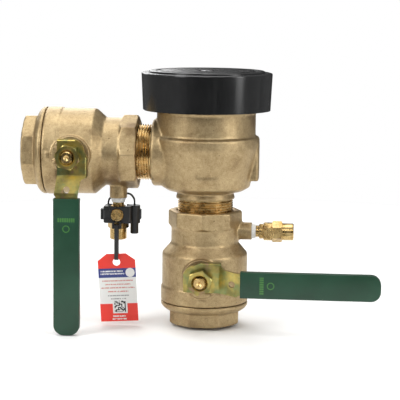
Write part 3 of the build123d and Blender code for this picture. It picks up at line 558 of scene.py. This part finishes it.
def gripSleeve(name, valve, look):
    low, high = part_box(name + "_lever_grip")
    size, middle = high - low, (high + low) / 2
    deselectAll()
    bpy.ops.mesh.primitive_cube_add(size=1, location=middle)
    piece = bpy.context.object
    piece.scale = size
    bpy.ops.object.transform_apply(location=True, rotation=True, scale=True)
    along = valve["along"]
    tip = max(v.co.dot(along) for v in piece.data.vertices)

    def onTip(edge):
        ends = [piece.data.vertices[i].co for i in edge.vertices]
        return all(abs(p.dot(along) - tip) < 0.01 * mm for p in ends) and abs((ends[0] - ends[1]).y) > mm

    choose(piece, "EDGE", onTip)
    bpy.ops.mesh.bevel(offset=look["tipR"], segments=10, affect="EDGES")
    choose(piece, "FACE", lambda face: face.normal.dot(along) < -0.99)
    bpy.ops.mesh.inset(thickness=look["skin"], depth=0)
    bpy.ops.mesh.extrude_region_move(TRANSFORM_OT_translate={"value": along * look["mouth"]})
    bpy.ops.object.mode_set(mode="OBJECT")
    modify(piece, "BEVEL", width=look["edge"], segments=4, limit_method="ANGLE", angle_limit=radians(60))
    bpy.ops.object.shade_smooth_by_angle(angle=radians(40))
    piece.name = name + "GripSleeve"
    piece.data.materials.append(nodes[name + "_lever_grip"].data.materials[0])
    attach(piece, valve["body"])
    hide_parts(name + "_lever_grip")


for name, valve in valves.items():
    gripSleeve(name, valve, sleeveLook)
print("grips sleeved")

# each spring is a smooth-shaded copy of its node, with a mesh of its own, hung on the breaker
springs = {
    "check_spring": {"piece": "checkSpringCoil", "joint": "check_lift", "travel": 10.0 * mm},
    "float_spring": {"piece": "floatSpringCoil", "joint": "float_lift", "travel": 8.0 * mm},
}
for node, look in springs.items():
    low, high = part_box(node)
    spring = copyOfNode(node, look["piece"])
    bpy.ops.object.shade_smooth_by_angle(angle=radians(40))
    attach(spring, "breaker")
    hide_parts(node)
    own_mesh(spring)

# plain floor and soft light
stageLook = {"floor": (0.94, 0.94, 0.935, 1), "gap": 0.6 * mm, "radius": 0.62, "back": 0.15}
deselectAll()
bpy.ops.mesh.primitive_circle_add(vertices=128, radius=stageLook["radius"], fill_type="NGON",
                                  location=(0, stageLook["back"], cadLow.z - stageLook["gap"]))
floor = bpy.context.object
floor.name = "studioFloor"
paper = newFinish("paleFloor")
floor.data.materials.append(paper.finished({}, Base_Color=stageLook["floor"], Roughness=0.8))

# the room: white behind the object, and seen in the metal as dim in front and brighter to the sides and above
room = {"seen": 1.0, "front": 0.05, "side": 0.30, "above": 0.40}
sky = Finish(bpy.data.worlds.new("studio"), "Generated")
east, _, up = sky.axes()
sides = sky.ramp(east.math("ABSOLUTE"), (0.30, grey(room["front"])), (0.85, grey(room["side"])))
overhead = sky.ramp(up, (0.25, grey(0)), (0.80, grey(room["above"])))
seen = sky.node("ShaderNodeLightPath", output="Is Camera Ray")
light = sky.node("ShaderNodeVectorMath", {"operation": "ADD"}, {0: sides, 1: overhead})
glow = sky.node("ShaderNodeBackground", None, {"Color": sky.mix(seen, light, grey(room["seen"]))})
sky.node("ShaderNodeOutputWorld", None, {"Surface": glow})
bpy.context.scene.world = sky.holder

softboxes = {
    "left": {"at": (-0.85, -0.75, 0.75), "size": (0.45, 1.1), "power": 9.5},
    "right": {"at": (1.0, -0.55, 0.55), "size": (0.35, 1.1), "power": 7},
    "front": {"at": (0.25, -1.3, 0.95), "size": (0.5, 0.35), "power": 3.2},
    "top": {"at": (0.0, 0.1, 1.3), "size": (1.0, 0.8), "power": 8},
    "back": {"at": (-0.5, 1.1, 0.8), "size": (0.9, 0.9), "power": 9},
}
aim = Vector((0, 0, 0.12))
for name, box in softboxes.items():
    lamp = bpy.data.lights.new(name + "Softbox", "AREA")
    lamp.shape, lamp.size, lamp.size_y, lamp.energy = "RECTANGLE", *box["size"], box["power"]
    holder = bpy.data.objects.new(name + "Softbox", lamp)
    holder.location = box["at"]
    holder.rotation_euler = (aim - holder.location).to_track_quat("-Z", "Y").to_euler()
    bpy.context.scene.collection.objects.link(holder)

cameraLook = {
    "at": (0.0884, -1.2267, 0.2851), "yaw": 0.093, "pitch": 0.1438, "roll": 0.0093,
    "lens": 128.6, "shift": 0.061,
}
camera = bpy.data.cameras.new("camera")
camera.sensor_width, camera.lens, camera.shift_x = 36, cameraLook["lens"], cameraLook["shift"]
cameraHolder = bpy.data.objects.new("camera", camera)
turn = Matrix.Rotation(cameraLook["yaw"], 4, "Z") @ Matrix.Rotation(pi / 2 - cameraLook["pitch"], 4, "X")
turn = turn @ Matrix.Rotation(cameraLook["roll"], 4, "Z")
cameraHolder.matrix_world = Matrix.Translation(cameraLook["at"]) @ turn
bpy.context.scene.collection.objects.link(cameraHolder)
bpy.context.scene.camera = cameraHolder
bpy.context.scene.view_settings.view_transform = "Standard"
print("stage set")
